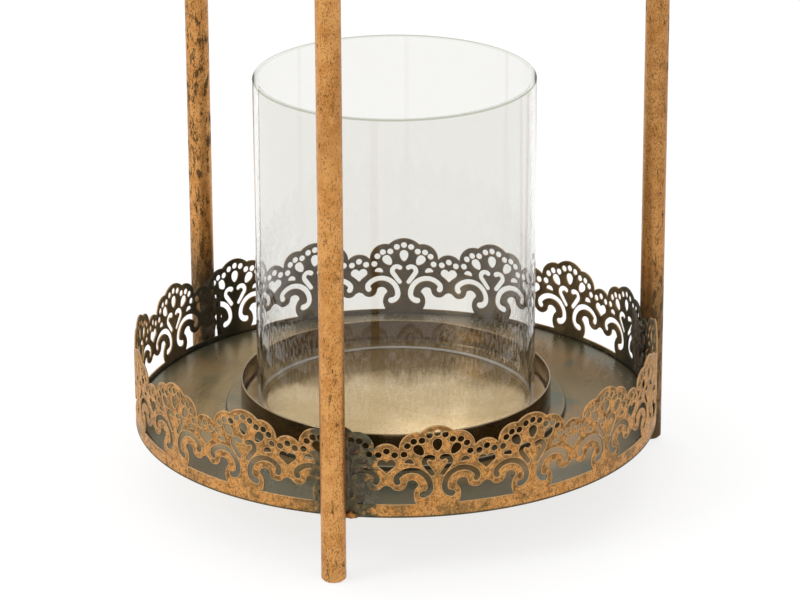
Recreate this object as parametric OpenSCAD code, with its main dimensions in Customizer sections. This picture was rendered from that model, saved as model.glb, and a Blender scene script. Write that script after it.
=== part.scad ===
// Three-rod pillar candle lantern: a round tray with a cut lace gallery, a dish with a
// loose glass cylinder, three rods that bend together at a hub, and a swinging ring.
// Origin: the lantern's axis, on the surface that the three feet stand on. +Z is up, and
// the front rod stands on the -Y side.

/* [Rods] */
// Diameter of each round rod
rod_d = 10.3; // [8:0.1:12]
// Distance from the lantern's axis to each rod's axis
rod_circle_r = 118; // [116:0.5:120]
// Height of a rod's straight stretch, from the foot to the bend
rod_straight_h = 270; // [230:5:320]
// Small bevel round the bottom end of each rod
foot_bevel = 1.0; // [0.5:0.1:2]

/* [Tray] */
// Height of the tray's bottom edge over the table
foot_h = 26; // [15:1:40]
// Height of the tray, from its bottom edge to its floor
tray_h = 4.2; // [3:0.1:6]
// Thickness of the tray's sheet
tray_sheet = 1.2; // [0.8:0.1:1.6]

/* [Lace gallery] */
// Number of big fans round the gallery
fan_count = 17; // [15:1:19]
// Thickness of the lace strip
lace_sheet = 0.8; // [0.6:0.1:1.2]
// Height of the solid band under the windows
band_h = 5.9; // [5:0.1:7]
// Height of the lace at the top of a big fan
fan_top = 40.2; // [38:0.1:42]

/* [Dish and glass] */
// Outer radius of the candle dish
dish_r = 67; // [66:0.5:70]
// Height of the dish, from its underside to its rim
dish_h = 11.6; // [9:0.1:14]
// Thickness of the dish's sheet
dish_sheet = 1.2; // [0.8:0.1:1.4]
// Radius of the round plate under the dish
plate_r = 73.6; // [72:0.1:76]
// Thickness of the plate under the dish
plate_t = 2.0; // [1.2:0.1:2.5]
// Outer radius of the glass cylinder
glass_r = 60; // [58:0.5:61]
// Height of the glass cylinder
glass_h = 146; // [120:1:160]
// Wall of the glass cylinder
glass_wall = 2.2; // [1.8:0.1:3]

/* [Hub and ring] */
// Radius of the turned hub that the three rods meet
hub_r = 14; // [13:0.5:16]
// Radius of the ring's circle, at the middle of its wire
ring_r = 24; // [22:0.5:26]
// Thickness of the ring's wire
ring_wire = 5.2; // [4:0.1:5.4]
// How far the ring leans below level, where it rests on the two back rods
ring_lean = 40; // [30:1:40]

/* [Hidden] */
$fn = 72;
rod_r = rod_d / 2;
sheet_seam = 0.05;
lace_out_r = rod_circle_r - rod_r - sheet_seam;
lace_in_r = lace_out_r - lace_sheet;
tray_r = lace_in_r - sheet_seam;
floor_z = foot_h + tray_h;
plate_top_z = floor_z + plate_t;
dish_floor_z = plate_top_z + dish_sheet;
seat_step = 0.4;
seat_r = glass_r - glass_wall - 1.8;
fan_step = 360 / fan_count;
half_pitch = lace_out_r * tan(fan_step / 2);
rod_turns = [0, 120, 240];

// The hub's and ring's heights follow from the rods' quarter bend.
bend_r = rod_circle_r - hub_r;
bend_top_z = rod_straight_h + bend_r;
hub_low_z = bend_top_z - 10;
hub_high_z = bend_top_z + 10;
stud_r = 3.0;
washer_t = 1.4;
nut_h = 9;
nut_floor = 1.8;
shank_out = washer_t + nut_h - nut_floor;
eye_hole_r = 4.4;
eye_wire_r = 2.6;
eye_z = hub_high_z + 4 + eye_hole_r + 2 * eye_wire_r - 0.6;
ring_z = eye_z - eye_hole_r + ring_wire / 2 + 0.4;

// ---- Tray, plate, dish and glass -------------------------------------------------

// A flat round floor with its edge turned down inside the lace band.
module tray_pan() {
    color("dimgray")
    difference() {
        translate([0, 0, foot_h]) cylinder(r = tray_r, h = tray_h, $fn = 144);
        translate([0, 0, foot_h - 1])
            cylinder(r = tray_r - tray_sheet, h = tray_h - tray_sheet + 1, $fn = 144);
    }
}

// The round plate that lifts the dish off the floor.
module seat_plate() {
    color("slategray")
    translate([0, 0, floor_z]) {
        cylinder(r = plate_r, h = plate_t - 0.5, $fn = 144);
        translate([0, 0, plate_t - 0.5]) cylinder(r1 = plate_r, r2 = plate_r - 0.5, h = 0.5, $fn = 144);
    }
}

// A shallow pan with a rolled lip, and a low step that keeps the glass in the middle.
module candle_dish() {
    lip = dish_sheet / 2;
    color("peru")
    translate([0, 0, plate_top_z]) {
        difference() {
            cylinder(r = dish_r, h = dish_h - lip, $fn = 144);
            translate([0, 0, dish_sheet])
                cylinder(r = dish_r - dish_sheet, h = dish_h, $fn = 144);
        }
        translate([0, 0, dish_sheet - 0.2]) cylinder(r = seat_r, h = seat_step + 0.2, $fn = 144);
        translate([0, 0, dish_h - lip])
            rotate_extrude($fn = 144) translate([dish_r - lip, 0]) circle(r = lip, $fn = 24);
    }
}

// An open glass tube with rounded ends.
module glass_chimney() {
    lip = glass_wall / 2;
    color("lightblue", 0.35)
    translate([0, 0, dish_floor_z])
        rotate_extrude($fn = 144) translate([glass_r - lip, 0]) {
            translate([-lip, 0]) square([glass_wall, glass_h - lip]);
            translate([0, glass_h - lip]) circle(r = lip, $fn = 24);
        }
}

// ---- Lace gallery ----------------------------------------------------------------
// Flat shapes of one repeat. x runs round the band and y up from its bottom edge.

// Everything above the scalloped top, from one big fan's middle to the next: half of a
// three-lobed big fan at each end, and a small fan at x = 0.
module above_scallops() {
    low_y = fan_top - 10.2;
    reach = half_pitch - 0.5;
    difference() {
        translate([-reach, low_y]) square([2 * reach, 20]);
        translate([0, fan_top - 14]) circle(r = 6.5);
        for (side = [-1, 1]) {
            translate([side * (half_pitch - 8.7), fan_top - 9.8]) circle(r = 7.1);
            translate([side * half_pitch, fan_top - 9.9]) circle(r = 9.9);
        }
    }
}

// The window between two fan stems, centred on a small fan at x = 0: a flared slot
// with a round-headed arm reaching up into the scroll on each side.
module window_shape() {
    difference() {
        union() {
            polygon([[-12.3, band_h], [12.3, band_h], [11.0, 9.2], [11.6, 12.2], [13.1, 14.4],
                [-13.1, 14.4], [-11.6, 12.2], [-11.0, 9.2]]);
            for (side = [-1, 1]) translate([side * 10.4, 13.9]) circle(r = 2.5);
        }
        for (side = [-1, 1]) translate([side * 4.8, 15.5]) circle(r = 3.6);
        translate([-1.3, 13.6]) square([2.6, 4]);
    }
}

// The solid heart under a small fan's dots.
module heart_shape() {
    for (side = [-1, 1]) translate([side * 1.85, 23.8]) circle(r = 1.95);
    polygon([[-3.6, 23.1], [0, 19.7], [3.6, 23.1], [1.5, 24.2], [-1.5, 24.2]]);
}

// The three teardrops of a big fan.
module teardrops() {
    translate([0, 32.0]) circle(r = 1.8);
    for (side = [-1, 1]) translate([side * 7.6, 29.5]) circle(r = 1.7);
}

// Pushes a flat shape through the band, at one turn round the axis.
module punch(turn) {
    rotate(turn) translate([0, -lace_in_r + 3, foot_h])
        rotate([90, 0, 0]) linear_extrude(height = 8) children();
}

module lace_gallery() {
    apex_flat = 0.06;
    color("sandybrown")
    difference() {
        translate([0, 0, foot_h]) cylinder(r = lace_out_r, h = fan_top - apex_flat, $fn = 144);
        translate([0, 0, foot_h - 1]) cylinder(r = lace_in_r, h = fan_top + 2, $fn = 144);
        for (i = [0 : fan_count - 1]) {
            punch((i + 0.5) * fan_step) above_scallops();
            punch(i * fan_step) teardrops();
            punch((i + 0.5) * fan_step) window_shape();
            punch((i + 0.5) * fan_step) heart_shape();
        }
    }
}

// ---- Rods and their joints to the tray ---------------------------------------------

// One rod on the -Y side: a bevelled foot, a straight stretch and a quarter bend that
// brings it level into the hub, where its end is coped to the hub's side.
module rod(turn) {
    color("chocolate")
    rotate(turn - 90)
    difference() {
        union() {
            translate([rod_circle_r, 0, 0])
                cylinder(r1 = rod_r - foot_bevel, r2 = rod_r, h = foot_bevel);
            translate([rod_circle_r, 0, foot_bevel])
                cylinder(r = rod_r, h = rod_straight_h - foot_bevel);
            translate([hub_r, 0, rod_straight_h])
                rotate([90, 0, 0]) rotate_extrude(angle = 90) translate([bend_r, 0]) circle(r = rod_r);
            translate([hub_r - 2, 0, bend_top_z]) rotate([0, 90, 0]) cylinder(r = rod_r, h = 2);
        }
        translate([0, 0, hub_low_z - 5]) cylinder(r = hub_r, h = 30);
    }
}

// Solder where a rod crosses the lace: a blot over the inner face of the lace, and a
// fillet each side of the rod on the outside.
module rod_solder(turn) {
    blot_low_z = foot_h + 7;
    blot_high_z = foot_h + 31;
    fillet_r = 2.4;
    color("darkslategray")
    rotate(turn) {
        intersection() {
            translate([0, 0, blot_low_z]) difference() {
                cylinder(r = lace_in_r, h = blot_high_z - blot_low_z, $fn = 144);
                translate([0, 0, -1]) cylinder(r = lace_in_r - 1.2, h = 40, $fn = 144);
            }
            translate([-8, -lace_out_r - 5, blot_low_z]) cube([16, 20, blot_high_z - blot_low_z]);
        }
        for (side = [-1, 1]) difference() {
            translate([side * 4.4, -lace_out_r - 0.9, foot_h + 3])
                cylinder(r = fillet_r, h = 27);
            translate([0, 0, foot_h]) cylinder(r = lace_out_r, h = 50, $fn = 144);
            translate([0, -rod_circle_r, foot_h]) cylinder(r = rod_r, h = 50);
        }
    }
}

// The weld beads at the tray's bottom edge, one each side of the rod.
module edge_weld(turn) {
    bead_r = 2.3;
    bevel = 0.9;
    color("saddlebrown")
    rotate(turn)
    for (side = [-1, 1]) difference() {
        translate([side * 4.9, -lace_out_r - 0.6, foot_h - 0.6]) {
            cylinder(r1 = bead_r - bevel, r2 = bead_r, h = bevel);
            translate([0, 0, bevel]) cylinder(r = bead_r, h = 1.2);
            translate([0, 0, bevel + 1.2]) cylinder(r1 = bead_r, r2 = bead_r - bevel, h = bevel);
        }
        translate([0, 0, foot_h - 5]) cylinder(r = lace_out_r, h = 50, $fn = 144);
        translate([0, -rod_circle_r, foot_h - 5]) cylinder(r = rod_r, h = 50);
    }
}

// ---- Hub, eye and ring ---------------------------------------------------------------

// A turned boss with rounded shoulders and a bore for the eye's shank.
module hub() {
    shoulder = 4;
    color("chocolate")
    difference() {
        rotate_extrude() {
            translate([0, hub_low_z]) square([hub_r - 1.5, 1.5]);
            translate([hub_r - 1.5, hub_low_z + 1.5]) circle(r = 1.5, $fn = 24);
            translate([0, hub_low_z + 1.5]) square([hub_r, hub_high_z - hub_low_z - shoulder - 1.5]);
            translate([0, hub_high_z - shoulder]) square([hub_r - shoulder, shoulder]);
            intersection() {
                translate([hub_r - shoulder, hub_high_z - shoulder]) circle(r = shoulder, $fn = 48);
                translate([hub_r - shoulder, hub_high_z - shoulder]) square(shoulder);
            }
        }
        translate([0, 0, hub_low_z - 1]) cylinder(r = stud_r + 0.05, h = 30);
    }
}

// The collar of weld round a rod's end at the hub.
module hub_weld(turn) {
    thick = 1.4;
    color("saddlebrown")
    rotate(turn - 90)
    difference() {
        translate([hub_r - 3, 0, bend_top_z])
            rotate([0, 90, 0]) cylinder(r1 = rod_r + thick + 0.6, r2 = rod_r + 0.4, h = 5);
        translate([0, 0, hub_low_z - 1]) cylinder(r = hub_r, h = 30);
        translate([hub_r - 4, 0, bend_top_z]) rotate([0, 90, 0]) cylinder(r = rod_r + 0.02, h = 8);
    }
}

// An eye on a turned collar, with a shank that runs down through the hub.
module eye_stud() {
    collar_h = 4;
    color("chocolate") {
        translate([0, 0, hub_low_z - shank_out])
            cylinder(r = stud_r, h = hub_high_z - hub_low_z + shank_out + 0.5);
        translate([0, 0, hub_high_z]) cylinder(r = 6.5, h = collar_h - 1.5);
        translate([0, 0, hub_high_z + collar_h - 1.5]) cylinder(r1 = 6.5, r2 = 4, h = 1.5);
        translate([0, 0, eye_z])
            rotate([0, 90, 0]) rotate_extrude() translate([eye_hole_r + eye_wire_r, 0]) circle(r = eye_wire_r);
    }
}

module hub_washer() {
    color("saddlebrown")
    translate([0, 0, hub_low_z - washer_t]) difference() {
        cylinder(r = 8, h = washer_t);
        translate([0, 0, -1]) cylinder(r = stud_r + 0.05, h = 4);
    }
}

// A domed nut on the end of the shank.
module hub_nut() {
    nut_r = 6.4;
    cap_r = nut_r - 0.9;
    cap_h = 3.2;
    ball_r = (cap_r * cap_r + cap_h * cap_h) / (2 * cap_h);
    color("saddlebrown")
    translate([0, 0, hub_low_z - washer_t - nut_h]) difference() {
        union() {
            translate([0, 0, cap_h - 0.2]) cylinder(r = nut_r, h = nut_h - cap_h + 0.2, $fn = 6);
            intersection() {
                translate([0, 0, ball_r]) sphere(r = ball_r, $fn = 64);
                cylinder(r = cap_r + 0.1, h = cap_h);
            }
        }
        translate([0, 0, nut_floor]) cylinder(r = stud_r + 0.05, h = nut_h);
    }
}

// The ring, leaning back on the two back rods.
module ring_handle() {
    color("chocolate")
    translate([0, 0, ring_z]) rotate([-ring_lean, 0, 0]) translate([0, ring_r, 0])
        rotate_extrude($fn = 96) translate([ring_r, 0]) circle(r = ring_wire / 2, $fn = 32);
}

tray_pan();
seat_plate();
candle_dish();
lace_gallery();
glass_chimney();
rod(rod_turns[0]);  // rod_front
rod(rod_turns[1]);  // rod_right
rod(rod_turns[2]);  // rod_left
rod_solder(rod_turns[0]);  // solder_front
rod_solder(rod_turns[1]);  // solder_right
rod_solder(rod_turns[2]);  // solder_left
edge_weld(rod_turns[0]);  // weld_front
edge_weld(rod_turns[1]);  // weld_right
edge_weld(rod_turns[2]);  // weld_left
hub();
hub_weld(rod_turns[0]);  // hub_weld_front
hub_weld(rod_turns[1]);  // hub_weld_right
hub_weld(rod_turns[2]);  // hub_weld_left
eye_stud();
hub_washer();
hub_nut();
ring_handle();
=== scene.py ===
import math

import bmesh
import bpy
import numpy as np
from mathutils import Matrix, Vector, geometry, noise


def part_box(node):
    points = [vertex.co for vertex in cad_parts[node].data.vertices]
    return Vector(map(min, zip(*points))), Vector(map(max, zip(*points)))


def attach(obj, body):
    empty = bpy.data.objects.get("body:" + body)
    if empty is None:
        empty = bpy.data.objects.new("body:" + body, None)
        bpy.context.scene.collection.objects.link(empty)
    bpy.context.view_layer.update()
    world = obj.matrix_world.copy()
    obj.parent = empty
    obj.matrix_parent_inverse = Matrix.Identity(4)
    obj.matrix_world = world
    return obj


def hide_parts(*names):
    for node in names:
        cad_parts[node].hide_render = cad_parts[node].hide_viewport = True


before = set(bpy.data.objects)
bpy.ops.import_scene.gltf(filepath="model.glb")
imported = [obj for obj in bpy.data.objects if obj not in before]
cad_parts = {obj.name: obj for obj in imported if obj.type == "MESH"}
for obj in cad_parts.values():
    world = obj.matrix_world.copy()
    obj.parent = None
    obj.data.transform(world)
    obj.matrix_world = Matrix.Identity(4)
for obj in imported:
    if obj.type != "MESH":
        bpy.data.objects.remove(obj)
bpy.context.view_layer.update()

# The looks of a three-rod candle lantern: a lace gallery cut from thin sheet, a dish with a
# loose glass cylinder, copper rods, dark solder and weld, a hub and a ring.
# Shapes are drawn in millimetres and turned into metres where they become meshes.

MM = 0.001
FAN_COUNT = 17
FAN_STEP = 2 * math.pi / FAN_COUNT
# How far round from the front each rod stands, towards the right, in radians.
ROD_TURNS = {"front": 0.0, "right": 2 * math.pi / 3, "left": 4 * math.pi / 3}


def node_top(node):
    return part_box(node)[1][2] / MM


def node_low(node):
    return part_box(node)[0][2] / MM


def node_radius(node):
    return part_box(node)[1][0] / MM


LACE_LOW = node_low("lace_gallery")
LACE_R = node_radius("lace_gallery")
LACE_SHEET = 0.8
SEAT_R = node_radius("seat_plate")
DISH_R = node_radius("candle_dish")
DISH_LOW = node_low("candle_dish")
DISH_TOP = node_top("candle_dish")
GLASS_R = node_radius("glass_chimney")
GLASS_LOW = node_low("glass_chimney")
GLASS_TOP = node_top("glass_chimney")
ROD_R = (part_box("rod_front")[1][0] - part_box("rod_front")[0][0]) / 2 / MM
ROD_CIRCLE_R = -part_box("rod_front")[0][1] / MM - ROD_R


# ---- Camera, light and floor ------------------------------------------------------

def add_camera():
    """A long lens about 1.7 m away, looking 21 degrees down from a little right of the front rod."""
    turn = math.radians(12.55)
    pitch = math.radians(20.73)
    roll = math.radians(-0.24)
    data = bpy.data.cameras.new("camera")
    data.lens = 177.5
    data.sensor_width = 36.0
    data.clip_end = 50.0
    camera = bpy.data.objects.new("camera", data)
    place = Matrix.Translation((0.3464, -1.5473, 0.6785))
    look = Matrix.Rotation(turn, 4, "Z") @ Matrix.Rotation(math.pi / 2 - pitch, 4, "X")
    camera.matrix_world = place @ look @ Matrix.Rotation(roll, 4, "Z")
    bpy.context.collection.objects.link(camera)
    bpy.context.scene.camera = camera


def add_area_light(name, size, power, place, target):
    data = bpy.data.lights.new(name, "AREA")
    data.shape = "RECTANGLE"
    data.size = size[0]
    data.size_y = size[1]
    data.energy = power
    light = bpy.data.objects.new(name, data)
    light.location = place
    light.rotation_euler = (Vector(target) - Vector(place)).to_track_quat("-Z", "Y").to_euler()
    bpy.context.collection.objects.link(light)


def add_floor():
    """A plain pale floor, large enough to fill every view. Most of its brightness is its own
    glow, so that the object's shadow on it stays faint."""
    reach = 12.0
    corners = [(-reach, -reach, 0), (reach, -reach, 0), (reach, reach, 0), (-reach, reach, 0)]
    mesh = bpy.data.meshes.new("floor")
    mesh.from_pydata(corners, [], [(0, 1, 2, 3)])
    floor = bpy.data.objects.new("floor", mesh)
    bpy.context.collection.objects.link(floor)
    mat = bpy.data.materials.new("pale_floor")
    mat.use_nodes = True
    shader = mat.node_tree.nodes["Principled BSDF"]
    shader.inputs["Base Color"].default_value = (0.30, 0.30, 0.30, 1)
    shader.inputs["Roughness"].default_value = 0.9
    shader.inputs["Specular IOR Level"].default_value = 0.1
    shader.inputs["Emission Color"].default_value = (1, 1, 1, 1)
    shader.inputs["Emission Strength"].default_value = 0.74
    mesh.materials.append(mat)


def add_studio():
    """An even white room, a little dimmer to the right, and three soft lamps."""
    world = bpy.data.worlds.new("studio")
    world.use_nodes = True
    tree = world.node_tree
    coords = tree.nodes.new("ShaderNodeTexCoord")
    split = tree.nodes.new("ShaderNodeSeparateXYZ")
    shade = tree.nodes.new("ShaderNodeMapRange")
    shade.inputs["From Min"].default_value = -0.6
    shade.inputs["From Max"].default_value = 0.9
    shade.inputs["To Min"].default_value = 1.08
    shade.inputs["To Max"].default_value = 0.60
    tree.links.new(coords.outputs["Generated"], split.inputs[0])
    tree.links.new(split.outputs["X"], shade.inputs["Value"])
    tree.links.new(shade.outputs[0], tree.nodes["Background"].inputs["Strength"])
    tree.nodes["Background"].inputs["Color"].default_value = (1, 1, 1, 1)
    bpy.context.scene.world = world
    bpy.context.scene.view_settings.view_transform = "Standard"
    target = (0, 0, 0.12)
    add_area_light("key", (0.9, 1.2), 14, (-1.7, -1.5, 1.5), target)
    add_area_light("fill", (1.6, 1.6), 4, (1.9, -0.9, 1.5), target)
    add_area_light("back", (1.8, 1.0), 5, (0.3, 2.2, 1.9), target)


# ---- Materials --------------------------------------------------------------------

class Paint:
    """A material under construction: short calls that add shader nodes and link them."""

    def __init__(self, name):
        self.mat = bpy.data.materials.new(name)
        self.mat.use_nodes = True
        self.tree = self.mat.node_tree
        self.shader = self.tree.nodes["Principled BSDF"]
        coords = self.tree.nodes.new("ShaderNodeTexCoord")
        self.place = coords.outputs["Object"]

    def put(self, kind, inputs=None, **settings):
        node = self.tree.nodes.new(kind)
        for key, value in settings.items():
            setattr(node, key, value)
        for key, value in (inputs or {}).items():
            self.feed(node.inputs[key], value)
        return node

    def feed(self, socket, value):
        if isinstance(value, bpy.types.NodeSocket):
            self.tree.links.new(value, socket)
        else:
            socket.default_value = value

    def math(self, operation, a, b=0.0, clamp=False):
        node = self.put("ShaderNodeMath", operation=operation, use_clamp=clamp)
        self.feed(node.inputs[0], a)
        self.feed(node.inputs[1], b)
        return node.outputs[0]

    def times(self, a, b):
        return self.math("MULTIPLY", a, b)

    def total(self, first, *others):
        for other in others:
            first = self.math("ADD", first, other)
        return first

    def axes(self):
        """The three coordinates of the place, in metres."""
        return tuple(self.put("ShaderNodeSeparateXYZ", {"Vector": self.place}).outputs)

    def length(self, x, y):
        return self.math("SQRT", self.total(self.times(x, x), self.times(y, y)))

    def radius(self):
        """Distance from the lantern's axis, in millimetres."""
        x, y, _ = self.axes()
        return self.math("DIVIDE", self.length(x, y), MM)

    def height(self):
        """Height over the table, in millimetres."""
        return self.math("DIVIDE", self.axes()[2], MM)

    def near_rods(self, full, none, lean_deg=1.6):
        """1 within `full` millimetres of a rod's axis, falling to 0 at `none`. The middle of the
        zone lies lean_deg further round than the rod."""
        place_x, place_y, _ = self.axes()
        nearest = None
        for rod_turn in ROD_TURNS.values():
            turn = rod_turn + math.radians(lean_deg)
            x = self.math("SUBTRACT", place_x, ROD_CIRCLE_R * MM * math.sin(turn))
            y = self.math("ADD", place_y, ROD_CIRCLE_R * MM * math.cos(turn))
            away = self.length(x, y)
            nearest = away if nearest is None else self.math("MINIMUM", nearest, away)
        return self.ramp(nearest, full * MM, none * MM, 1.0, 0.0)

    def scaled(self, scale):
        """The place with each axis scaled. A scale below 1 draws a pattern out along its axis."""
        node = self.put("ShaderNodeMapping", {"Vector": self.place})
        node.inputs["Scale"].default_value = scale
        return node.outputs[0]

    def noise(self, scale, detail=4.0, rough=0.55, place=None, warp=0.0):
        node = self.put("ShaderNodeTexNoise", {"Vector": place or self.place, "Scale": scale,
                                               "Detail": detail, "Roughness": rough,
                                               "Distortion": warp})
        return node.outputs["Fac"]

    def ramp(self, value, low, high, out_low=0.0, out_high=1.0):
        """A smooth step from out_low, where the value is `low`, to out_high, where it is `high`."""
        node = self.put("ShaderNodeMapRange", {"Value": value, "From Min": low, "From Max": high,
                                               "To Min": out_low, "To Max": out_high},
                        interpolation_type="SMOOTHSTEP")
        return node.outputs[0]

    def mix(self, amount, a, b):
        node = self.put("ShaderNodeMix", data_type="RGBA")
        self.feed(node.inputs["Factor"], amount)
        for socket, colour in ((node.inputs[6], a), (node.inputs[7], b)):
            self.feed(socket, colour if isinstance(colour, bpy.types.NodeSocket) else (*colour, 1))
        return node.outputs[2]

    def cover(self, colour, coat, where, strength):
        """A colour under a coat that lies where `where` is 1 and hides `strength` of it there."""
        return self.mix(self.times(where, strength), colour, coat)

    def bump(self, height, distance, strength=1.0):
        node = self.put("ShaderNodeBump", {"Height": height, "Distance": distance, "Strength": strength})
        self.tree.links.new(node.outputs[0], self.shader.inputs["Normal"])

    def finish(self, **inputs):
        """Feeds the shader's sockets, an underscore standing for a space in a socket's name."""
        for key, value in inputs.items():
            name = key.replace("_", " ")
            if isinstance(value, tuple) and len(value) == 3:
                value = (*value, 1)
            self.feed(self.shader.inputs[name], value)
        return self.mat


# Colours are red, green and blue in linear light. In the materials x, y and bump distances are
# in metres, a noise's first number is its scale, and radii and heights are in millimetres.
COPPER = (0.525, 0.225, 0.052)
COPPER_PALE = (0.67, 0.325, 0.098)
COPPER_DEEP = (0.26, 0.100, 0.024)
BROWN = (0.065, 0.036, 0.014)
# Painted shade for the right back rod.
ROD_PAINTED_SHADE = (0.13, 0.062, 0.018)
# Painted shade for the back rods, low down.
ROD_LOW_PAINTED_SHADE = (0.085, 0.056, 0.022)


def rod_copper():
    """Antique copper: soft mottling and fine dark specks. The back rods have worn dark streaks
    and painted shade low down, by the lace, and the right one has a little painted shade all
    the way up. The front one has only traces of the streaks, more of them near its foot."""
    paint = Paint("rod_copper")
    x, y, _ = paint.axes()
    at_back = paint.ramp(y, -0.08, 0.02)
    # Low on the back rods: thicker worn streaks there, and painted shade.
    low_back = paint.times(at_back, paint.ramp(paint.height(), 58, 92, 1.0, 0.0))
    tone = paint.ramp(paint.noise(160, 6, 0.68), 0.34, 0.60)
    colour = paint.mix(tone, COPPER, COPPER_PALE)
    warm = paint.ramp(paint.noise(45, 3, place=paint.scaled((1, 1, 0.35))), 0.5, 0.7)
    colour = paint.cover(colour, COPPER_DEEP, warm, 0.35)

    streaks = paint.noise(420, 7, 0.78, place=paint.scaled((1, 1, 0.35)), warp=0.3)
    zone = paint.ramp(paint.noise(30, 4, 0.6, place=paint.scaled((1, 1, 0.18))), 0.36, 0.60)
    lift = paint.total(paint.times(zone, paint.ramp(at_back, 0, 1, 0.046, 0.085)),
                       paint.times(at_back, 0.04),
                       paint.times(low_back, 0.05),
                       paint.ramp(paint.height(), 3, 16, 0.075, 0.0))
    bare_level = paint.math("SUBTRACT", 0.635, lift)
    worn = paint.ramp(paint.math("SUBTRACT", streaks, bare_level), 0.0, 0.05)
    colour = paint.cover(colour, BROWN, worn, 0.85)

    fine = paint.noise(1700, 3, 0.6, place=paint.scaled((1, 1, 0.6)))
    bare = paint.ramp(paint.noise(60, 3, 0.6, place=paint.scaled((1, 1, 0.3))), 0.4, 0.6)
    specks = paint.ramp(paint.math("SUBTRACT", fine, paint.times(bare, 0.05)), 0.50, 0.60)
    colour = paint.cover(colour, BROWN, specks, 0.6)
    # Painted shade: the right back rod a little darker all the way up.
    shaded = paint.times(at_back, paint.ramp(x, -0.05, 0.05, 0.0, 0.22))
    colour = paint.mix(shaded, colour, ROD_PAINTED_SHADE)
    # Painted shade low on the back rods, by the lace.
    colour = paint.cover(colour, ROD_LOW_PAINTED_SHADE, low_back, 0.72)
    rough = paint.ramp(worn, 0, 1, 0.36, 0.66)
    paint.bump(paint.noise(900, 3), 0.00006)
    return paint.finish(Base_Color=colour, Roughness=rough, Metallic=0.78)


LACE_STAIN = (0.115, 0.085, 0.034)
LACE_BLOT = (0.100, 0.062, 0.020)
LACE_GRAIN = (0.095, 0.055, 0.018)
# Painted shade for the groove behind the cut edges.
LACE_GROOVE_SHADE = (0.075, 0.045, 0.016)
LACE_RIM = (0.64, 0.40, 0.18)
GREY_GREEN = (0.050, 0.054, 0.036)
GREY_GREEN_PALE = (0.105, 0.105, 0.066)
DARK_BRONZE = (0.155, 0.112, 0.056)
DARK_BRONZE_PALE = (0.235, 0.175, 0.092)
DARK_BRONZE_RIM = (0.27, 0.20, 0.105)
DARK_BRONZE_BURNT = (0.052, 0.050, 0.034)


def lace_copper():
    """Copper brushed over dark patina outside, dark bronze inside. The cut edges are worn pale with
    a dark line of painted shade behind them, and the bottom edge has a line of painted shade.
    Beside each rod the heat of soldering has turned the outside grey-green and the inside dark."""
    paint = Paint("lace_copper")
    tone = paint.ramp(paint.noise(170, 6, 0.7), 0.28, 0.54)
    colour = paint.mix(tone, COPPER, COPPER_PALE)
    patina = paint.noise(75, 7, 0.74, warp=0.7)
    low = paint.ramp(paint.height(), LACE_LOW + 5, LACE_LOW + 9, 1.0, 0.75)
    stain = paint.times(paint.ramp(patina, 0.48, 0.60), low)
    colour = paint.cover(colour, LACE_STAIN, stain, 0.62)
    blots = paint.ramp(paint.noise(420, 5, 0.7), 0.52, 0.62)
    colour = paint.cover(colour, LACE_BLOT, blots, 0.62)
    grain = paint.ramp(paint.noise(1300, 4, 0.7), 0.47, 0.60)
    colour = paint.cover(colour, LACE_GRAIN, grain, 0.62)

    gap = paint.put("ShaderNodeAttribute", attribute_name="edge_gap").outputs["Fac"]
    # Painted shade: a dark line in the groove just behind each cut edge.
    groove = paint.times(paint.ramp(gap, 0.24, 0.38), paint.ramp(gap, 0.40, 0.78, 1.0, 0.0))
    groove = paint.times(groove, paint.ramp(paint.noise(300, 3), 0.35, 0.6))
    colour = paint.cover(colour, LACE_GROOVE_SHADE, groove, 0.6)
    rim = paint.ramp(gap, 0.22, 0.38, 1.0, 0.0)
    colour = paint.cover(colour, LACE_RIM, rim, 0.6)
    # Painted shade: a thin dark line along the bottom edge.
    bottom_shade = paint.ramp(paint.height(), LACE_LOW + 0.5, LACE_LOW + 1.1, 1.0, 0.0)
    colour = paint.cover(colour, GREY_GREEN, bottom_shade, 0.85)
    patchy = paint.ramp(paint.noise(260, 6, 0.7), 0.38, 0.62)
    heat = paint.math("MULTIPLY", paint.near_rods(9, 19), paint.math("ADD", patchy, 0.5), clamp=True)
    heat = paint.ramp(heat, 0.25, 0.65)
    burnt = paint.mix(paint.ramp(paint.noise(330, 4), 0.4, 0.65), GREY_GREEN, GREY_GREEN_PALE)
    colour = paint.cover(colour, burnt, heat, 0.93)

    bronze = paint.mix(paint.ramp(paint.noise(70, 4), 0.4, 0.65), DARK_BRONZE, DARK_BRONZE_PALE)
    bronze = paint.cover(bronze, DARK_BRONZE_RIM, rim, 0.5)
    bronze = paint.cover(bronze, DARK_BRONZE_BURNT, paint.near_rods(14, 26, lean_deg=0.0), 0.85)
    outside = paint.ramp(paint.radius(), LACE_R - 0.62, LACE_R - 0.4)
    colour = paint.mix(outside, bronze, colour)
    rough = paint.ramp(outside, 0, 1, 0.40, 0.50)
    metal = paint.ramp(outside, 0, 1, 0.6, 0.65)
    paint.bump(paint.noise(900, 4, 0.6), 0.00012)
    return paint.finish(Base_Color=colour, Roughness=rough, Metallic=metal, Specular_IOR_Level=0.2)


OLIVE = (0.300, 0.212, 0.096)
OLIVE_PALE = (0.385, 0.282, 0.140)
FLOOR_PAINTED_LIGHT = (0.470, 0.345, 0.165)
FLOOR_PAINTED_SHADE = (0.150, 0.110, 0.044)
FLOOR_WARM = (0.330, 0.185, 0.068)
FLOOR_COOL = (0.125, 0.145, 0.098)
FLOOR_ARC = (0.085, 0.085, 0.055)
FLOOR_LACE_SHADE = (0.060, 0.075, 0.049)
PLATE_GREY = (0.17, 0.175, 0.125)
PLATE_EDGE_HIGHLIGHT = (0.30, 0.27, 0.19)
PLATE_SIDE_SHADE = (0.040, 0.044, 0.034)
SEAM_SHADE = (0.012, 0.012, 0.010)


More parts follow.
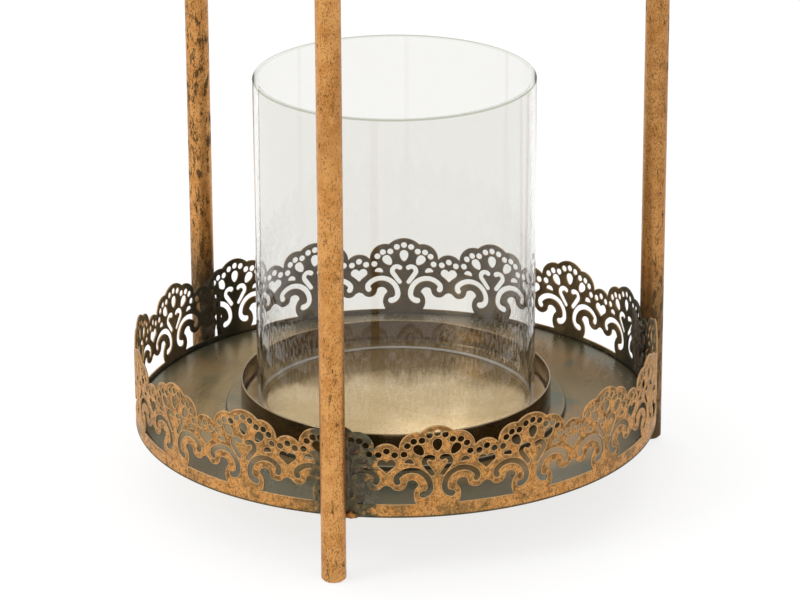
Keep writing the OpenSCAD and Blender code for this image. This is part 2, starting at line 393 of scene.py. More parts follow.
def floor_bronze():
    """The tray's floor: glossy olive-brown bronze with soft clouds, warm and cool patches and
    faint arcs. It has painted light to the left and painted shade to the right, and green-grey
    painted shade near the lace, most widely at the front. The seat plate is greyer, with a painted
    highlight on its edge and painted shade on its side, and the gap under the lace is painted
    black as shade."""
    paint = Paint("floor_bronze")
    x, y, _ = paint.axes()
    radius = paint.radius()
    clouds = paint.ramp(paint.noise(22, 4, 0.55, warp=0.6), 0.36, 0.66)
    colour = paint.mix(clouds, OLIVE, OLIVE_PALE)
    # Painted light to the left and painted shade to the right.
    colour = paint.mix(paint.ramp(x, -0.10, 0.05, 0.8, 0.0), colour, FLOOR_PAINTED_LIGHT)
    colour = paint.mix(paint.ramp(x, -0.02, 0.10, 0.0, 0.55), colour, FLOOR_PAINTED_SHADE)
    warm = paint.ramp(paint.noise(13, 3, warp=0.4), 0.44, 0.62)
    colour = paint.cover(colour, FLOOR_WARM, warm, 0.7)
    cool = paint.ramp(paint.noise(31, 3, warp=0.5), 0.50, 0.66)
    colour = paint.cover(colour, FLOOR_COOL, cool, paint.ramp(x, -0.08, 0.04, 0.40, 0.85))

    # Fine across the radius and drawn out round it.
    along_arc = 14
    across_arc = 1.1
    arcs_at = paint.put("ShaderNodeCombineXYZ", {"X": paint.times(radius, across_arc),
                                                 "Y": paint.times(x, along_arc),
                                                 "Z": paint.times(y, along_arc)})
    arcs = paint.ramp(paint.noise(1.0, 4, 0.65, place=arcs_at.outputs[0]), 0.42, 0.62)
    colour = paint.cover(colour, FLOOR_ARC, arcs, 0.16)
    # Painted shade on the floor near the lace, reaching furthest in at the front.
    reach = paint.math("ADD", radius, paint.ramp(y, -0.12, -0.02, 22, 0))
    near_lace_shade = paint.ramp(reach, LACE_R - 17, LACE_R - 4)
    colour = paint.cover(colour, FLOOR_LACE_SHADE, near_lace_shade, 0.72)

    plate = paint.ramp(radius, SEAT_R + 0.1, SEAT_R + 0.4, 1.0, 0.0)
    colour = paint.cover(colour, PLATE_GREY, plate, 0.35)
    # Painted highlight on the seat plate's edge.
    plate_edge_highlight = paint.times(paint.ramp(radius, SEAT_R - 1.2, SEAT_R - 0.7), plate)
    colour = paint.cover(colour, PLATE_EDGE_HIGHLIGHT, plate_edge_highlight, 0.45)
    # Painted shade on the seat plate's side.
    plate_side_shade = paint.times(paint.ramp(radius, SEAT_R - 0.25, SEAT_R - 0.1), plate)
    colour = paint.cover(colour, PLATE_SIDE_SHADE, plate_side_shade, 0.85)
    # Painted shade: the gap under the lace painted black.
    seam_shade = paint.ramp(radius, LACE_R - 2.8, LACE_R - 2.2)
    colour = paint.mix(seam_shade, colour, SEAM_SHADE)
    streaks = paint.noise(70, 5, 0.7, place=paint.scaled((1, 0.2, 1)))
    rough = paint.ramp(streaks, 0.3, 0.7, 0.22, 0.38)
    paint.bump(paint.noise(35, 2, 0.4), 0.0003, 0.15)
    return paint.finish(Base_Color=colour, Roughness=rough, Metallic=0.5, Specular_IOR_Level=0.25)


TAN = (0.74, 0.545, 0.290)
TAN_PALE = (0.84, 0.640, 0.365)
TAN_FLECK = (0.50, 0.35, 0.17)
DISH_WALL_SHADE = (0.090, 0.052, 0.019)
DISH_OUTSIDE_SHADE = (0.056, 0.033, 0.010)
DISH_LIP_HIGHLIGHT = (0.36, 0.27, 0.16)


def dish_bronze():
    """The dish: glossy tan bronze with fine flecks, with painted shade on its wall and a painted
    highlight on its lip.
    """
    paint = Paint("dish_bronze")
    clouds = paint.ramp(paint.noise(30, 4, 0.55, warp=0.5), 0.36, 0.66)
    colour = paint.mix(clouds, TAN, TAN_PALE)
    fleck = paint.ramp(paint.noise(500, 4, 0.6), 0.40, 0.66)
    colour = paint.cover(colour, TAN_FLECK, fleck, 0.25)
    # Painted shade on the dish's wall.
    wall = paint.ramp(paint.radius(), DISH_R - 3.0, DISH_R - 1.4)
    colour = paint.cover(colour, DISH_WALL_SHADE, wall, 0.95)
    # Painted shade on the outside of the dish's wall.
    outside = paint.ramp(paint.radius(), DISH_R - 0.5, DISH_R - 0.2)
    colour = paint.mix(outside, colour, DISH_OUTSIDE_SHADE)
    # Painted highlight on the dish's lip.
    lip = paint.ramp(paint.height(), DISH_TOP - 0.55, DISH_TOP - 0.25)
    colour = paint.mix(lip, colour, DISH_LIP_HIGHLIGHT)
    grain = paint.noise(1400, 3, 0.6)
    colour = paint.mix(paint.ramp(grain, 0.45, 0.65, 0.0, 0.2), colour, TAN_FLECK)
    rough = paint.ramp(paint.noise(60, 5, 0.6), 0.3, 0.7, 0.11, 0.19)
    paint.bump(grain, 0.00003, 0.5)
    return paint.finish(Base_Color=colour, Roughness=rough, Metallic=0.75, Specular_IOR_Level=0.25)


SOLDER = (0.060, 0.048, 0.034)
SOLDER_PALE = (0.175, 0.138, 0.098)
SOLDER_GREEN = (0.085, 0.105, 0.08)
SOLDER_PIT = (0.030, 0.026, 0.020)


def solder_dark():
    """Burnt solder: dull grey-brown, green in patches, with dark pits and a few copper flecks."""
    paint = Paint("solder_dark")
    tone = paint.ramp(paint.noise(160, 5, 0.65), 0.38, 0.66)
    colour = paint.mix(tone, SOLDER, SOLDER_PALE)
    green = paint.ramp(paint.noise(110, 3, 0.6), 0.55, 0.7)
    colour = paint.cover(colour, SOLDER_GREEN, green, 0.5)
    pits = paint.ramp(paint.noise(520, 4, 0.65), 0.54, 0.64)
    colour = paint.cover(colour, SOLDER_PIT, pits, 0.7)
    fleck = paint.ramp(paint.noise(380, 3, 0.6), 0.60, 0.66)
    colour = paint.cover(colour, COPPER_DEEP, fleck, 0.6)
    rough = paint.ramp(paint.noise(240, 4), 0.3, 0.7, 0.38, 0.62)
    paint.bump(paint.noise(420, 4, 0.65), 0.0004, 0.8)
    return paint.finish(Base_Color=colour, Roughness=rough, Metallic=0.6, Specular_IOR_Level=0.3)


def weld_copper():
    """Weld under the copper finish, patched with dark scale."""
    paint = Paint("weld_copper")
    tone = paint.ramp(paint.noise(200, 5, 0.65), 0.38, 0.62)
    colour = paint.mix(tone, BROWN, COPPER)
    paint.bump(paint.noise(480, 4, 0.65), 0.0003, 0.7)
    return paint.finish(Base_Color=colour, Roughness=0.5, Metallic=0.6)


GLASS_WALL = (0.876, 0.872, 0.846)
GLASS_HEAD_SHADE = (0.70, 0.72, 0.645)
GLASS_BRIM_SHADE = (0.36, 0.395, 0.30)


def clear_glass():
    """Clear glass, faintly warm and grey. Its top edge has painted shade, most of all on the outer
    line of it, and its foot is a less clear ring. The reflections are a coat's, over a body that
    hardly bends the light, which keeps a thin wall's edges as pale as they are on a white table."""
    paint = Paint("clear_glass")
    foot = paint.ramp(paint.height(), GLASS_LOW + 0.3, GLASS_LOW + 0.8, 1.0, 0.0)
    # Painted shade on the top edge, darkest along its outer line.
    head = paint.ramp(paint.height(), GLASS_TOP - 0.9, GLASS_TOP - 0.3)
    colour = paint.mix(head, GLASS_WALL, GLASS_HEAD_SHADE)
    brim = paint.times(paint.ramp(paint.height(), GLASS_TOP - 0.85, GLASS_TOP - 0.6),
                       paint.ramp(paint.radius(), GLASS_R - 0.55, GLASS_R - 0.35))
    colour = paint.mix(brim, colour, GLASS_BRIM_SHADE)
    clear = paint.ramp(foot, 0, 1, 1.0, 0.3)
    return paint.finish(Base_Color=colour, Roughness=0.0, IOR=1.01, Transmission_Weight=clear,
                        Coat_Weight=1.0, Coat_IOR=1.37, Coat_Roughness=0.0)


# ---- Mesh helpers -----------------------------------------------------------------

def make_object(name, verts_mm, faces, material, sharp_deg=35):
    merge_gap = 0.001 * MM
    mesh = bpy.data.meshes.new(name)
    mesh.from_pydata([(x * MM, y * MM, z * MM) for x, y, z in verts_mm], [], faces)
    cleaned = bmesh.new()
    cleaned.from_mesh(mesh)
    bmesh.ops.remove_doubles(cleaned, verts=cleaned.verts, dist=merge_gap)
    bmesh.ops.dissolve_degenerate(cleaned, edges=cleaned.edges, dist=merge_gap / 2)
    bmesh.ops.recalc_face_normals(cleaned, faces=cleaned.faces)
    cleaned.to_mesh(mesh)
    cleaned.free()
    mesh.materials.append(material)
    mesh.shade_smooth()
    mesh.set_sharp_from_angle(angle=math.radians(sharp_deg))
    mesh.update()
    piece = bpy.data.objects.new(name, mesh)
    bpy.context.collection.objects.link(piece)
    return piece


def lathe(name, outline, material, steps=192, sharp_deg=35):
    """Turns a closed outline of (radius, height) points round the Z axis. A point at radius 0 is
    one vertex on the axis."""
    verts = []
    rings = []
    for r, z in outline:
        start = len(verts)
        if r == 0:
            verts.append((0, 0, z))
            rings.append([start] * steps)
            continue
        for k in range(steps):
            angle = 2 * math.pi * k / steps
            verts.append((r * math.cos(angle), r * math.sin(angle), z))
        rings.append(list(range(start, start + steps)))
    faces = []
    for i, ring in enumerate(rings):
        following = (i + 1) % len(rings)
        after = rings[following]
        if outline[i][0] == 0 and outline[following][0] == 0:
            continue
        for k in range(steps):
            n = (k + 1) % steps
            quad = [ring[k], ring[n], after[n], after[k]]
            faces.append([v for j, v in enumerate(quad) if v not in quad[:j]])
    return make_object(name, verts, faces, material, sharp_deg)


def ring_faces(start, rows, steps):
    """Quads between rings of `steps` vertices each, `rows` of them, numbered from `start` on."""
    faces = []
    for i in range(rows):
        near = start + i * steps
        far = near + steps
        for k in range(steps):
            n = (k + 1) % steps
            faces.append([near + k, far + k, far + n, near + n])
    return faces


def arc(cx, cy, r, start_deg, end_deg, steps):
    """Points on an arc, both ends included."""
    angles = np.radians(np.linspace(start_deg, end_deg, steps + 1))
    return [(cx + r * math.cos(a), cy + r * math.sin(a)) for a in angles]


# ---- Lace pattern -----------------------------------------------------------------
# One half repeat, from the middle of a big fan (x = 0) to the middle of a small fan
# (x = SMALL_X). x runs round the band and y up from its bottom edge, in millimetres.
# A circle is (x, y, radius).

PITCH = FAN_STEP * LACE_R
SMALL_X = PITCH / 2
FAN_TOP = 40.2
CROWN = (0.0, FAN_TOP - 9.9, 9.9)
SHOULDER = (8.7, FAN_TOP - 9.8, 7.1)
SMALL_FAN = (SMALL_X, FAN_TOP - 14.0, 6.5)
BAND_TOP = 5.9
DOT_R = 1.42
DOTS = [(0.0, 36.9), (3.3, 36.0), (6.35, 33.8), (9.75, 33.5), (12.3, 31.6), (13.7, 27.9),
        (SMALL_X, 29.3), (SMALL_X - 3.3, 27.7), (SMALL_X + 3.3, 27.7)]


def crossing(a, b):
    """The upper crossing point of two circles."""
    dx, dy = b[0] - a[0], b[1] - a[1]
    gap = math.hypot(dx, dy)
    along = (a[2] ** 2 - b[2] ** 2 + gap ** 2) / (2 * gap)
    off = math.sqrt(a[2] ** 2 - along ** 2)
    x, y = a[0] + along * dx / gap, a[1] + along * dy / gap
    ends = [(x - s * off * dy / gap, y + s * off * dx / gap) for s in (1, -1)]
    return max(ends, key=lambda p: p[1])


def arc_between(circle, first, last, steps):
    """Points on a circle, from its side towards `first` to its side towards `last`, without
    passing its far left."""
    cx, cy, r = circle
    start = math.degrees(math.atan2(first[1] - cy, first[0] - cx))
    end = math.degrees(math.atan2(last[1] - cy, last[0] - cx))
    return arc(cx, cy, r, start, end, steps)


def mirrored(circle, about=0.0):
    return (2 * about - circle[0], circle[1], circle[2])


def scalloped_outline():
    """The strip's outline, running past both ends of the half repeat."""
    last_shoulder = mirrored(SHOULDER)
    next_shoulder = mirrored(SHOULDER, SMALL_X)
    notches = [crossing(last_shoulder, CROWN), crossing(CROWN, SHOULDER),
               crossing(SHOULDER, SMALL_FAN), crossing(SMALL_FAN, next_shoulder)]
    top = arc_between(last_shoulder, (last_shoulder[0], FAN_TOP), notches[0], 5)
    top += arc_between(CROWN, notches[0], notches[1], 16)[1:]
    top += arc_between(SHOULDER, notches[1], notches[2], 18)[1:]
    top += arc_between(SMALL_FAN, notches[2], notches[3], 16)[1:]
    top += arc_between(next_shoulder, notches[3], (next_shoulder[0], FAN_TOP), 10)[1:]
    left, right = top[0][0], top[-1][0]
    return [(left, 0.0), (right, 0.0)] + top[::-1]


def both_halves(right):
    """A closed shape on the small fan's middle line, from its right half's points, of which the
    last is on that line."""
    left = [(-x, y) for x, y in right[:-1]]
    shape = right + left[::-1]
    return [(SMALL_X + x, y) for x, y in shape][::-1]


def window_outline():
    """The window under a small fan: a flared slot whose top follows the two scroll curls, with a
    round-headed arm on each side that reaches up into the scroll."""
    curl = (4.8, 15.5, 3.55)
    arm_head = (10.3, 13.9, 2.75)
    cusp_y = 14.4
    right = [(12.2, BAND_TOP)]
    right += [(11.35, 7.6), (11.0, 9.4), (11.2, 11.2), (11.9, 12.8), (13.1, 14.3)]
    right += arc(*arm_head, 28, 128, 8)
    right += [(8.25, 15.2)]
    right += arc(*curl, -10, -150, 12)[1:]
    right += [(0.0, cusp_y)]
    return both_halves(right)


def heart_outline():
    lobe = (1.85, 23.75, 1.98)
    return both_halves(arc(*lobe, 150, -38, 12) + [(1.7, 21.2), (0.0, 19.6)])


def placed(shape, x, y, tilt_deg):
    """A shape turned by tilt_deg and then moved to (x, y)."""
    cos, sin = math.cos(math.radians(tilt_deg)), math.sin(math.radians(tilt_deg))
    return [(x + u * cos - v * sin, y + u * sin + v * cos) for u, v in shape]


def teardrop(x, y, tilt_deg):
    """An egg whose upper end is wider, leaning outwards by tilt_deg."""
    steps = 20
    half_width, half_height = 1.95, 2.75
    widening = 0.22
    egg = []
    for k in range(steps):
        angle = 2 * math.pi * k / steps
        widened = 1 + widening * math.sin(angle)
        egg.append((half_width * math.cos(angle) * widened, half_height * math.sin(angle)))
    return placed(egg, x, y, -tilt_deg)


def half_moon(x, y, tilt_deg):
    moon = arc(0, -0.85, 1.95, 6, 174, 12) + [(-1.7, -1.05), (1.7, -1.05)]
    return placed(moon, x, y, tilt_deg)


def stroke(path, half_widths):
    """The outline of a pen stroke along a path, with round ends. half_widths gives the half
    width at the start, the middle and the end."""
    first, middle, last = half_widths
    end_part = 0.16
    pts = np.array(path, float)
    along = np.gradient(pts, axis=0)
    along /= np.linalg.norm(along, axis=1)[:, None]
    side = np.stack([-along[:, 1], along[:, 0]], axis=1)
    t = np.linspace(0, 1, len(pts))
    half = np.interp(t, [0, end_part, 1 - end_part, 1], [first, middle, middle, last])
    left = pts + side * half[:, None]
    right = pts - side * half[:, None]

    def cap(centre, direction, r):
        a = math.degrees(math.atan2(direction[1], direction[0]))
        return arc(centre[0], centre[1], r, a - 90, a + 90, 6)[1:-1]

    shape = [tuple(p) for p in right]
    shape += cap(pts[-1], along[-1], half[-1])
    shape += [tuple(p) for p in left[::-1]]
    shape += cap(pts[0], -along[0], half[0])
    return shape


def heart_scroll():
    """The right half of a big fan's open heart: a hook at the top and a tail to the middle."""
    hook = arc(3.35, 24.4, 2.1, 132, -36, 14)
    tail = [(4.45, 22.4), (3.7, 21.3), (2.85, 20.1), (2.05, 19.0)]
    return stroke(hook + tail, (1.15, 1.1, 1.0))


def big_scroll():
    """The long scroll right of a big fan's stem: up from a round end beside the stem, over the
    arch, and down to a round end over the curl."""
    foot = arc(6.1, 13.2, 3.15, 268, 180, 8)
    arch = arc(10.6, 13.3, 7.65, 180, 38, 22)[1:]
    curl = arc(14.75, 17.0, 2.1, 20, -38, 5)[1:]
    return stroke(foot + arch + curl, (1.45, 1.2, 1.3))


def lace_holes():
    holes = [arc(x, y, DOT_R, 0, 360, 14)[:-1] for x, y in DOTS]
    holes += [teardrop(0.0, 31.8, 0), teardrop(7.6, 29.6, 36)]
    holes += [half_moon(SMALL_X - 9.3, 24.9, 8), heart_outline(), window_outline()]
    holes += [heart_scroll(), big_scroll()]
    return holes


# ---- Lace mesh --------------------------------------------------------------------

LONGEST_EDGE = 1.5
SHORTEST_EDGE = 0.05
# How far from the cut edges the flat field starts.
FIELD_INSET = 0.40
# Rings that round each cut edge: (distance into the metal, depth below the outer face).
OUTER_RINGS = [(0.0, 0.16), (0.07, 0.04), (0.22, 0.0), (FIELD_INSET, 0.07)]
INNER_RINGS = [(0.0, LACE_SHEET - 0.12), (0.12, LACE_SHEET - 0.01), (FIELD_INSET, LACE_SHEET - 0.01)]
# The staggered grid of vertices in the flat field.
GRID_START = (0.8, 1.2)
GRID_STEP = (1.85, 1.6)
GRID_STAGGER = 0.8
GRID_CLEAR = 0.65


def winding(loop):
    """Above 0 where a loop runs counterclockwise."""
    pts = np.array(loop)
    nxt = np.roll(pts, -1, axis=0)
    return float(np.sum(pts[:, 0] * nxt[:, 1] - nxt[:, 0] * pts[:, 1]))


def tidy_loop(loop, want_ccw):
    """Turns a loop the wanted way, drops points that nearly meet, and splits long edges."""
    if (winding(loop) > 0) != want_ccw:
        loop = loop[::-1]
    kept = [p for i, p in enumerate(loop) if math.dist(p, loop[i - 1]) > SHORTEST_EDGE]
    out = []
    for i, (x, y) in enumerate(kept):
        next_x, next_y = kept[(i + 1) % len(kept)]
        parts = max(1, math.ceil(math.dist((x, y), (next_x, next_y)) / LONGEST_EDGE))
        out += [(x + (next_x - x) * k / parts, y + (next_y - y) * k / parts) for k in range(parts)]
    return np.array(out)


def into_metal(loop, distance):
    """Moves a loop's points sideways into the metal, which lies on its left."""
    edge = np.roll(loop, -1, axis=0) - loop
    edge /= np.linalg.norm(edge, axis=1)[:, None]
    normal = np.stack([-edge[:, 1], edge[:, 0]], axis=1)
    corner = normal + np.roll(normal, 1, axis=0)
    corner /= np.maximum(np.linalg.norm(corner, axis=1), 0.5)[:, None]
    reach = 1 / np.clip(np.sum(corner * normal, axis=1), 0.75, 1)
    return loop + corner * (distance * reach)[:, None]


def inside(points, loop):
    """For each point, whether it lies inside a closed loop."""
    x, y = points[:, 0:1], points[:, 1:2]
    x0, y0 = loop[:, 0], loop[:, 1]
    x1, y1 = np.roll(x0, -1), np.roll(y0, -1)
    crosses = (y0 > y) != (y1 > y)
    with np.errstate(divide="ignore", invalid="ignore"):
        at = x0 + (y - y0) * (x1 - x0) / (y1 - y0)
    return (crosses & (x < at)).sum(axis=1) % 2 == 1


def in_metal(points, loops):
    """For each point, whether it lies inside the first loop and in none of the others."""
    found = inside(points, loops[0])
    for hole in loops[1:]:
        found &= ~inside(points, hole)
    return found


def gap_to(points, others):
    """For each point, the distance to the nearest of the others."""
    return np.sqrt(((points[:, None] - others[None]) ** 2).sum(axis=2)).min(axis=1)


def loop_edges(loops):
    """The edges of closed loops whose points are numbered one loop after another."""
    edges = []
    start = 0
    for loop in loops:
        count = len(loop)
        edges += [(start + i, start + (i + 1) % count) for i in range(count)]
        start += count
    return edges


def field_triangles(outline, field):
    """Triangles that fill the metal between the field's loops. Each corner is (x, y, distance
    from the nearest cut edge)."""
    low, high = outline.min(axis=0), outline.max(axis=0)
    across = np.arange(low[0] + GRID_START[0], high[0], GRID_STEP[0])
    up = np.arange(low[1] + GRID_START[1], high[1], GRID_STEP[1])
    grid = np.array([(x + GRID_STAGGER * (j % 2), y) for j, y in enumerate(up) for x in across])
    rims = np.vstack(field)
    grid = grid[in_metal(grid, field) & (gap_to(grid, rims) > GRID_CLEAR)]
    points = [Vector(p) for p in np.vstack([rims, grid])]
    flat, _, triangles, _, _, _ = geometry.delaunay_2d_cdt(points, loop_edges(field), [], 0, 1e-5)
    flat = np.array([tuple(p) for p in flat])
    gaps = gap_to(flat, rims) + FIELD_INSET
    middles = np.array([flat[list(t)].mean(axis=0) for t in triangles])
    kept = in_metal(middles, field)
    return [[(*flat[i], gaps[i]) for i in t] for t, keep in zip(triangles, kept) if keep]


def half_repeat_mesh():
    """The half repeat as a flat plate: x, y and depth below the outer face. Each vertex carries
    its distance from the nearest cut edge."""
    loops = [tidy_loop(scalloped_outline(), True)]
    loops += [tidy_loop(hole, False) for hole in lace_holes()]
    mesh = bmesh.new()
    edge_gap = mesh.verts.layers.float.new("edge_gap")
    found = {}

    def vert(x, y, depth, gap):
        key = (round(x, 3), round(y, 3), round(depth, 3))
        if key not in found:
            found[key] = mesh.verts.new((x, y, depth))
            found[key][edge_gap] = gap
        return found[key]

    def face(corners):
        if len(set(corners)) == len(corners) and mesh.faces.get(corners) is None:
            mesh.faces.new(corners)

    for loop in loops:
        rows = []
        for inset, depth in INNER_RINGS[::-1] + OUTER_RINGS:
            rows.append([vert(x, y, depth, inset) for x, y in into_metal(loop, inset)])
        for near, far in zip(rows, rows[1:]):
            for i in range(len(loop)):
                n = (i + 1) % len(loop)
                face((near[i], near[n], far[n], far[i]))

    field = [into_metal(loop, FIELD_INSET) for loop in loops]
    outer_depth, inner_depth = OUTER_RINGS[-1][1], INNER_RINGS[-1][1]
    for corners in field_triangles(loops[0], field):
        face(tuple(vert(x, y, outer_depth, gap) for x, y, gap in corners))
        face(tuple(vert(x, y, inner_depth, gap) for x, y, gap in corners[::-1]))

    for plane_x, way in ((0.0, -1), (SMALL_X, 1)):
        everything = mesh.verts[:] + mesh.edges[:] + mesh.faces[:]
        bmesh.ops.bisect_plane(mesh, geom=everything, dist=1e-4, plane_co=(plane_x, 0, 0),
                               plane_no=(way, 0, 0), clear_outer=True)
    return mesh, edge_gap


def make_lace(material):
    """Bends 34 half repeats, every other one mirrored, into the closed gallery."""
    closing_gap = 0.02 * MM
    sharp_deg = 50
    plate, edge_gap = half_repeat_mesh()
    plate.verts.index_update()
    flat = np.array([v.co for v in plate.verts])
    gaps = [v[edge_gap] for v in plate.verts]
    polys = [[v.index for v in f.verts] for f in plate.faces]
    plate.free()
    verts, faces, all_gaps = [], [], []
    for k in range(FAN_COUNT):
        for way in (1, -1):
            turn = k * FAN_STEP + way * flat[:, 0] / PITCH * FAN_STEP
            r = LACE_R - flat[:, 2]
            start = len(verts)
            verts += list(zip(r * np.sin(turn), -r * np.cos(turn), LACE_LOW + flat[:, 1]))
            faces += [[start + i for i in (p if way > 0 else p[::-1])] for p in polys]
            all_gaps += gaps
    mesh = bpy.data.meshes.new("lace_filigree")
    mesh.from_pydata([(x * MM, y * MM, z * MM) for x, y, z in verts], [], faces)
    mesh.attributes.new("edge_gap", "FLOAT", "POINT").data.foreach_set("value", all_gaps)
    closed = bmesh.new()
    closed.from_mesh(mesh)
    bmesh.ops.remove_doubles(closed, verts=closed.verts, dist=closing_gap)
    bmesh.ops.recalc_face_normals(closed, faces=closed.faces)
    closed.to_mesh(mesh)
    closed.free()
    mesh.materials.append(material)
    mesh.shade_smooth()
    mesh.set_sharp_from_angle(angle=math.radians(sharp_deg))
    piece = bpy.data.objects.new("lace_filigree", mesh)
    bpy.context.collection.objects.link(piece)
    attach(piece, "stand")
    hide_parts("lace_gallery")


# ---- Dish and glass ---------------------------------------------------------------

def make_dish(material):
    """A shallow pan with a rolled lip. The candle's seat is pressed up a little from its floor,
    and the glass stands on the floor round the seat."""
    sheet = 0.75
    seat_r = 56.0
    seat_z = DISH_LOW + 1.6
    step = 0.5
    step_drop = 0.12
    floor_z = GLASS_LOW
    inner_corner = 2.0
    outer_corner = 1.6
    inner_r = DISH_R - sheet
    lip_r = sheet / 2
    outline = [(0, seat_z), (seat_r - step, seat_z), (seat_r, seat_z - step_drop), (seat_r + step, floor_z)]
    outline += arc(inner_r - inner_corner, floor_z + inner_corner, inner_corner, -90, 0, 8)
    outline += arc(DISH_R - lip_r, DISH_TOP - lip_r, lip_r, 180, 0, 8)
    outline += arc(DISH_R - outer_corner, DISH_LOW + outer_corner, outer_corner, 0, -90, 6)
    outline += [(0, DISH_LOW)]
    piece = lathe("dish_shell", outline, material)
    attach(piece, "stand")
    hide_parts("candle_dish")


def make_glass(material):
    wall = 2.2
    lip = 0.7
    foot = 0.5
    inner_r = GLASS_R - wall
    base = GLASS_LOW + 0.05
    outline = arc(inner_r + lip, GLASS_TOP - lip, lip, 180, 90, 6)
    outline += arc(GLASS_R - lip, GLASS_TOP - lip, lip, 90, 0, 6)
    outline += arc(GLASS_R - foot, base + foot, foot, 0, -90, 4)
    outline += arc(inner_r + foot, base + foot, foot, -90, -180, 4)
    piece = lathe("glass_tube", outline, material, sharp_deg=60)
    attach(piece, "glass")
    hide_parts("glass_chimney")


# ---- Solder and weld --------------------------------------------------------------

# Puddles that fill the lace's holes beside each rod: (along, up, half width, half height, swell).
# The swell is how far the back reaches past the lace's inner face, or stops short of it below 0.
# The right rod's solder is a lumpy mass that stands out furthest inside.
PUDDLES = {
    "front": [(5.5, 18, 6.8, 15.0, 0.4), (9.5, 27, 3.2, 4.5, 0.3), (-5.0, 12, 3.6, 8.0, 0.4)],
    "right": [(-1.0, 17, 5.6, 14.0, 1.7), (-5.5, 24, 3.4, 7.5, 2.0), (3.5, 24, 3.6, 9.0, 1.2),
              (-6.5, 12, 2.8, 5.0, 1.4)],
    "left": [(3.0, 19, 5.4, 15.0, -0.17), (-0.6, 22, 1.8, 4.0, 0.45), (3.4, 9, 1.8, 3.0, 0.35)],
}
# A fillet down each side of a rod, outside the lace: (along, up, half width, half height).
FILLETS = [(-4.3, 17, 1.3, 14.0), (4.3, 18, 1.5, 15.5)]
# Weld beads at the tray's bottom edge, two right of a rod and one left of it:
# (seed, along, up, (half width, half depth, half height), how far out from the lace).
BEADS = [(11.3, 5.9, 0.9, (2.5, 1.4, 1.5), 0.3), (17.1, 8.1, 0.7, (1.3, 0.9, 1.0), 0.1),
         (14.9, -5.3, 0.8, (1.6, 1.2, 1.2), 0.3)]


def round_band(along, radius, up, turn):
    """A place given along the band, out from the axis and up from the tray's edge."""
    a = turn + along / LACE_R
    return (radius * math.sin(a), -radius * math.cos(a), LACE_LOW + up)


def lumps(u, v, seed):
    """Uneven lumps about 4 mm across, with finer ones on them."""
    coarse, fine, fine_share = 0.27, 0.8, 0.5
    place = Vector((u, v, seed))
    return noise.noise(place * coarse) + fine_share * noise.noise(place * fine)


def puddle(turn, seed, along, up, wide, high, front, back, ragged=1.6):
    """A thin puddle of solder standing on edge: a blunt outline, uneven by about `ragged`
    millimetres, a nearly flat front at radius `front`, and a back that swells towards `back`."""
    rings, steps = 14, 84
    blunt = 0.72
    even_swell, uneven_swell = 0.85, 0.55
    back_seed = seed + 40
    middle = (front + back) / 2
    verts = []
    for side, face_r in ((1, front), (-1, back)):
        for i in range(rings + 1):
            s = i / rings
            level = math.sqrt(max(0.0, 1 - s ** 4))
            for k in range(steps):
                angle = 2 * math.pi * k / steps
                across = math.copysign(abs(math.cos(angle)) ** blunt, math.cos(angle))
                upward = math.copysign(abs(math.sin(angle)) ** blunt, math.sin(angle))
                shake = ragged * lumps(across * wide, upward * high, seed)
                u = along + s * across * (wide + shake)
                v = up + s * upward * (high + shake)
                swell = even_swell + uneven_swell * lumps(u, v, back_seed) if side < 0 else 1.0
                verts.append(round_band(u, middle + (face_r - middle) * level * swell, v, turn))
    back_start = (rings + 1) * steps
    faces = ring_faces(0, rings, steps) + ring_faces(back_start, rings, steps)
    front_rim, back_rim = rings * steps, back_start + rings * steps
    for k in range(steps):
        n = (k + 1) % steps
        faces.append([front_rim + k, back_rim + k, back_rim + n, front_rim + n])
    return verts, faces


def bead(turn, seed, along, up, size, out_r):
    """A weld bead: a lumpy egg, `size` giving its half width, half depth and half height."""
    across, rows = 28, 16
    unevenness, lump_scale = 0.35, 1.7
    verts = []
    for i in range(rows + 1):
        a = math.pi * i / rows
        for k in range(across):
            b = 2 * math.pi * k / across
            way = Vector((math.sin(a) * math.cos(b), math.sin(a) * math.sin(b), math.cos(a)))
            swell = 1 + unevenness * noise.noise(way * lump_scale + Vector((seed, 0, 0)))
            verts.append(round_band(along + size[0] * swell * way.x, out_r + size[1] * swell * way.y,
                                    up + size[2] * swell * way.z, turn))
    return verts, ring_faces(0, rows, across)


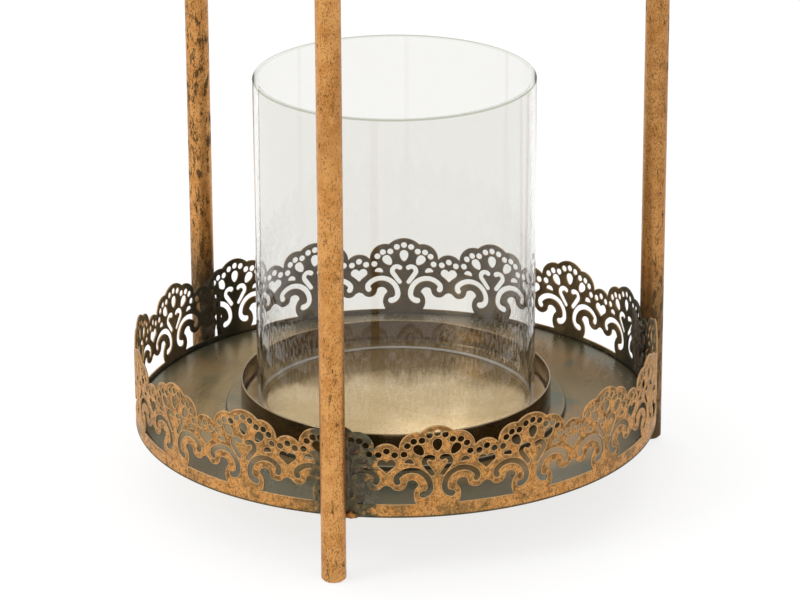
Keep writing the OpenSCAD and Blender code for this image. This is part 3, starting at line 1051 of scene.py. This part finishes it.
def join_parts(name, parts, material):
    verts, faces = [], []
    for part_verts, part_faces in parts:
        start = len(verts)
        verts += part_verts
        faces += [[start + i for i in f] for f in part_faces]
    return make_object(name, verts, faces, material, sharp_deg=80)


def make_solder(side, material):
    """The solder beside one rod: its puddles in the lace, and a fillet down each side outside.
    The seeds only have to differ from each other."""
    turn = ROD_TURNS[side]
    parts = []
    for i, (along, up, wide, high, swell) in enumerate(PUDDLES[side]):
        parts.append(puddle(turn, 3.7 * i + 5 * turn, along, up, wide, high,
                            LACE_R - 0.3, LACE_R - LACE_SHEET - swell))
    for i, (along, up, wide, high) in enumerate(FILLETS):
        parts.append(puddle(turn, 9.1 * i + 7 * turn, along, up, wide, high,
                            LACE_R + 0.5, LACE_R - 0.4, ragged=0.5))
    piece = join_parts("solder_blot_" + side, parts, material)
    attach(piece, "stand")
    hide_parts("solder_" + side)


def make_edge_weld(side, material):
    """The weld beads at the tray's bottom edge beside one rod."""
    turn = ROD_TURNS[side]
    parts = [bead(turn, seed + 3 * turn, along, up, size, LACE_R + out)
             for seed, along, up, size, out in BEADS]
    piece = join_parts("edge_bead_" + side, parts, material)
    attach(piece, "stand")
    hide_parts("weld_" + side)


# ---- Everything -------------------------------------------------------------------

def dress(node, material):
    """Gives a carried-over CAD node its material."""
    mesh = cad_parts[node].data
    mesh.materials.clear()
    mesh.materials.append(material)


add_camera()
add_floor()
add_studio()

rod_finish = rod_copper()
tray_finish = floor_bronze()
solder_finish = solder_dark()
weld_finish = weld_copper()

make_lace(lace_copper())
make_dish(dish_bronze())
make_glass(clear_glass())
for side in ROD_TURNS:
    make_solder(side, solder_finish)
for side in ROD_TURNS:
    make_edge_weld(side, weld_finish)

for node in ("rod_front", "rod_right", "rod_left", "hub", "eye_stud", "hub_nut", "ring_handle"):
    dress(node, rod_finish)
for node in ("tray_pan", "seat_plate", "hub_washer"):
    dress(node, tray_finish)
for node in ("hub_weld_front", "hub_weld_right", "hub_weld_left"):
    dress(node, weld_finish)
